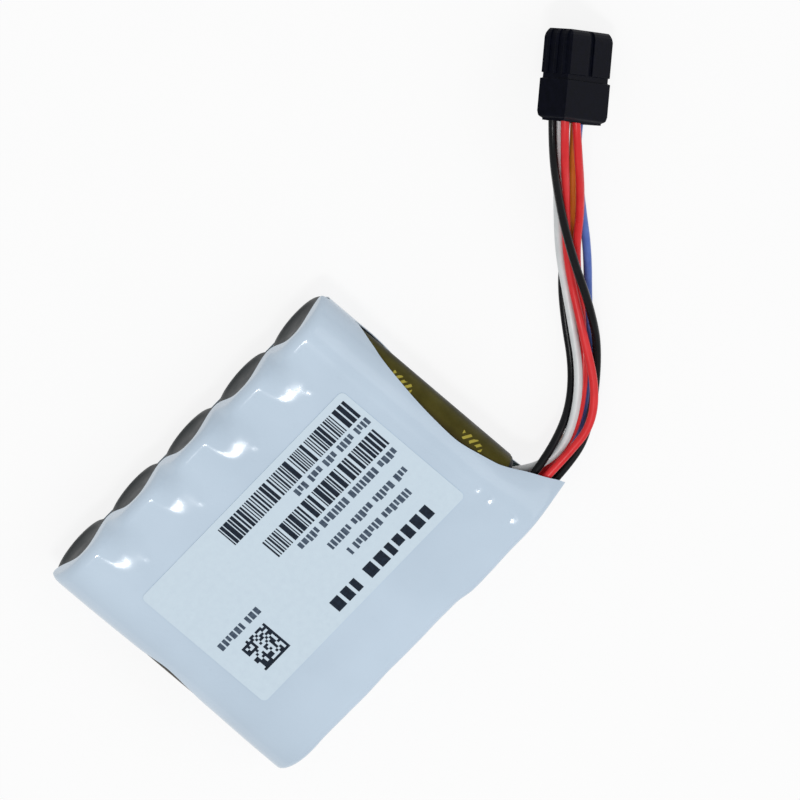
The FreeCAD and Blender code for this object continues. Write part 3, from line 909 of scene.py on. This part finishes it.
def cell_can(number):
    """A can with a softly rounded rim and a shallow dish in its closed end."""
    low, high = CELLS[number - 1]
    profile = [(radius, low.y + depth) for radius, depth in CAN_END]
    profile += [
        (CELL_RADIUS, low.y + CAN_SHOULDER), (CELL_RADIUS, high.y - CAN_BACK_EDGE),
        (CELL_RADIUS - CAN_BACK_EDGE, high.y), (0, high.y),
    ]
    bm = turned_body(profile, CELL_XS[number - 1])
    piece("can_%d" % number, bm, CAN, ["cell_%d" % number])


def turn_about(place, x):
    """How far round a cell's axis a place is, from -0.5 to 0.5 of a turn."""
    return math.atan2(place.z - MIDDLE, x - place.x) / (2 * math.pi)


def cell_sleeve(number):
    """The printed sleeve, whose length and turn are its pattern's own map."""
    low, high = node_box("sleeve_%d" % number)
    outer = (high.x - low.x) / 2
    inner = CELL_RADIUS + SLEEVE_GAP
    x = CELL_XS[number - 1]
    bm = turned_body([
        (inner, low.y), (outer - SLEEVE_EDGE_IN, low.y), (outer, low.y + SLEEVE_EDGE_BACK),
        (outer, high.y - SLEEVE_EDGE_BACK), (outer - SLEEVE_EDGE_IN, high.y), (inner, high.y), (inner, low.y),
    ], x)
    layer = bm.loops.layers.uv.new("around")
    for face in bm.faces:
        face_turn = turn_about(face.calc_center_median(), x)
        for loop in face.loops:
            place = loop.vert.co
            turn = turn_about(place, x)
            if abs(turn - face_turn) > 0.5:
                turn = -turn
            loop[layer].uv = ((place.y - low.y) / SLEEVE_REPEAT, turn + 0.5)
    piece("sleeve_wrap_%d" % number, bm, SLEEVE, ["sleeve_%d" % number])


for number in range(1, 6):
    cell_can(number)
    cell_sleeve(number)


# Board, insulating sheet and contacts

CARD_CORNER = 2.2
CARD_CORNER_STEPS = 6


def insulating_card():
    """The sheet behind the board."""
    bm = rounded_card("insulating_sheet", Y_AXIS, CARD_CORNER, CARD_CORNER_STEPS)
    piece("insulating_card", bm, SHEET, ["insulating_sheet"], smooth=False)


insulating_card()
for node, material in (
    ("cell_leads", TIN), ("solder_joints", TIN), ("wire_posts", TIN), ("circuit_board", BOARD),
    ("memory_chip", CHIP), ("balance_resistors", CHIP), ("filter_capacitors", CERAMIC),
    ("plug_dividers", PLUG), ("crimp_terminals", TERMINAL),
):
    dress(node, material)


# Studio, in metres

PAPER_SIZE = 3.0
PAPER_DROP = 0.00002
PAPER_GLOW = 0.85
SKY_LIGHT = 0.6
SKY_SEEN = 1.0
STRIP_TURN = math.radians(143)


def paper_finish():
    """White paper that keeps a soft shadow."""
    finish = Finish("white_paper", roughness=0.9, specular=0.1)
    finish.colour(finish.ramp(finish.noise(30.0), (0.3, (0.86, 0.86, 0.86)), (0.7, (0.88, 0.88, 0.88))))
    glow = finish.node("ShaderNodeEmission")
    path = finish.node("ShaderNodeLightPath")
    seen = finish.math("MAXIMUM", path.outputs["Is Camera Ray"], path.outputs["Is Glossy Ray"])
    seen = finish.math("MAXIMUM", seen, path.outputs["Is Transmission Ray"])
    mix = finish.node("ShaderNodeMixShader")
    share, paper, lit = mix.inputs
    finish.link(finish.times(seen, PAPER_GLOW), share)
    finish.link(finish.shader.outputs["BSDF"], paper)
    finish.link(glow.outputs["Emission"], lit)
    finish.link(mix.outputs["Shader"], finish.tree.nodes["Material Output"].inputs["Surface"])
    return finish.material


def paper_floor():
    """The sheet of paper that the part lies on."""
    bm = bmesh.new()
    bmesh.ops.create_grid(bm, x_segments=2, y_segments=2, size=PAPER_SIZE)
    bmesh.ops.translate(bm, vec=(0, 0, -PAPER_DROP), verts=bm.verts)
    mesh = bpy.data.meshes.new("paper_floor")
    bm.to_mesh(mesh)
    bm.free()
    mesh.materials.append(paper_finish())
    floor = add_object("paper_floor", mesh)


def white_sky():
    """A white surround that lights the part less strongly than it shows."""
    world = bpy.data.worlds.new("studio_world")
    bpy.context.scene.world = world
    world.use_nodes = True
    tree = world.node_tree
    sky = tree.nodes["Background"]
    sky.inputs["Color"].default_value = (1.0, 1.0, 1.0, 1.0)
    path = tree.nodes.new("ShaderNodeLightPath")
    level = tree.nodes.new("ShaderNodeMapRange")
    level.inputs["To Min"].default_value = SKY_LIGHT
    level.inputs["To Max"].default_value = SKY_SEEN
    tree.links.new(path.outputs["Is Camera Ray"], level.inputs["Value"])
    tree.links.new(level.outputs["Result"], sky.inputs["Strength"])


def lamp(name, place, size, power):
    """A soft lamp of a width and a depth."""
    data = bpy.data.lights.new(name, "AREA")
    data.shape = "RECTANGLE"
    data.size, data.size_y = size
    data.energy = power
    made = add_object(name, data)
    made.location = place
    return made


paper_floor()
white_sky()
strip = lamp("overhead_strip", place=(0.1, 0.06, 0.9), size=(0.22, 0.06), power=2.3)
strip.rotation_euler = (0.0, 0.0, STRIP_TURN)
window = lamp("window", place=(-0.7, 0.5, 0.8), size=(0.7, 0.7), power=1.6)
window.rotation_euler = (-window.location).to_track_quat("-Z", "Y").to_euler()
bpy.context.scene.view_settings.view_transform = "Standard"
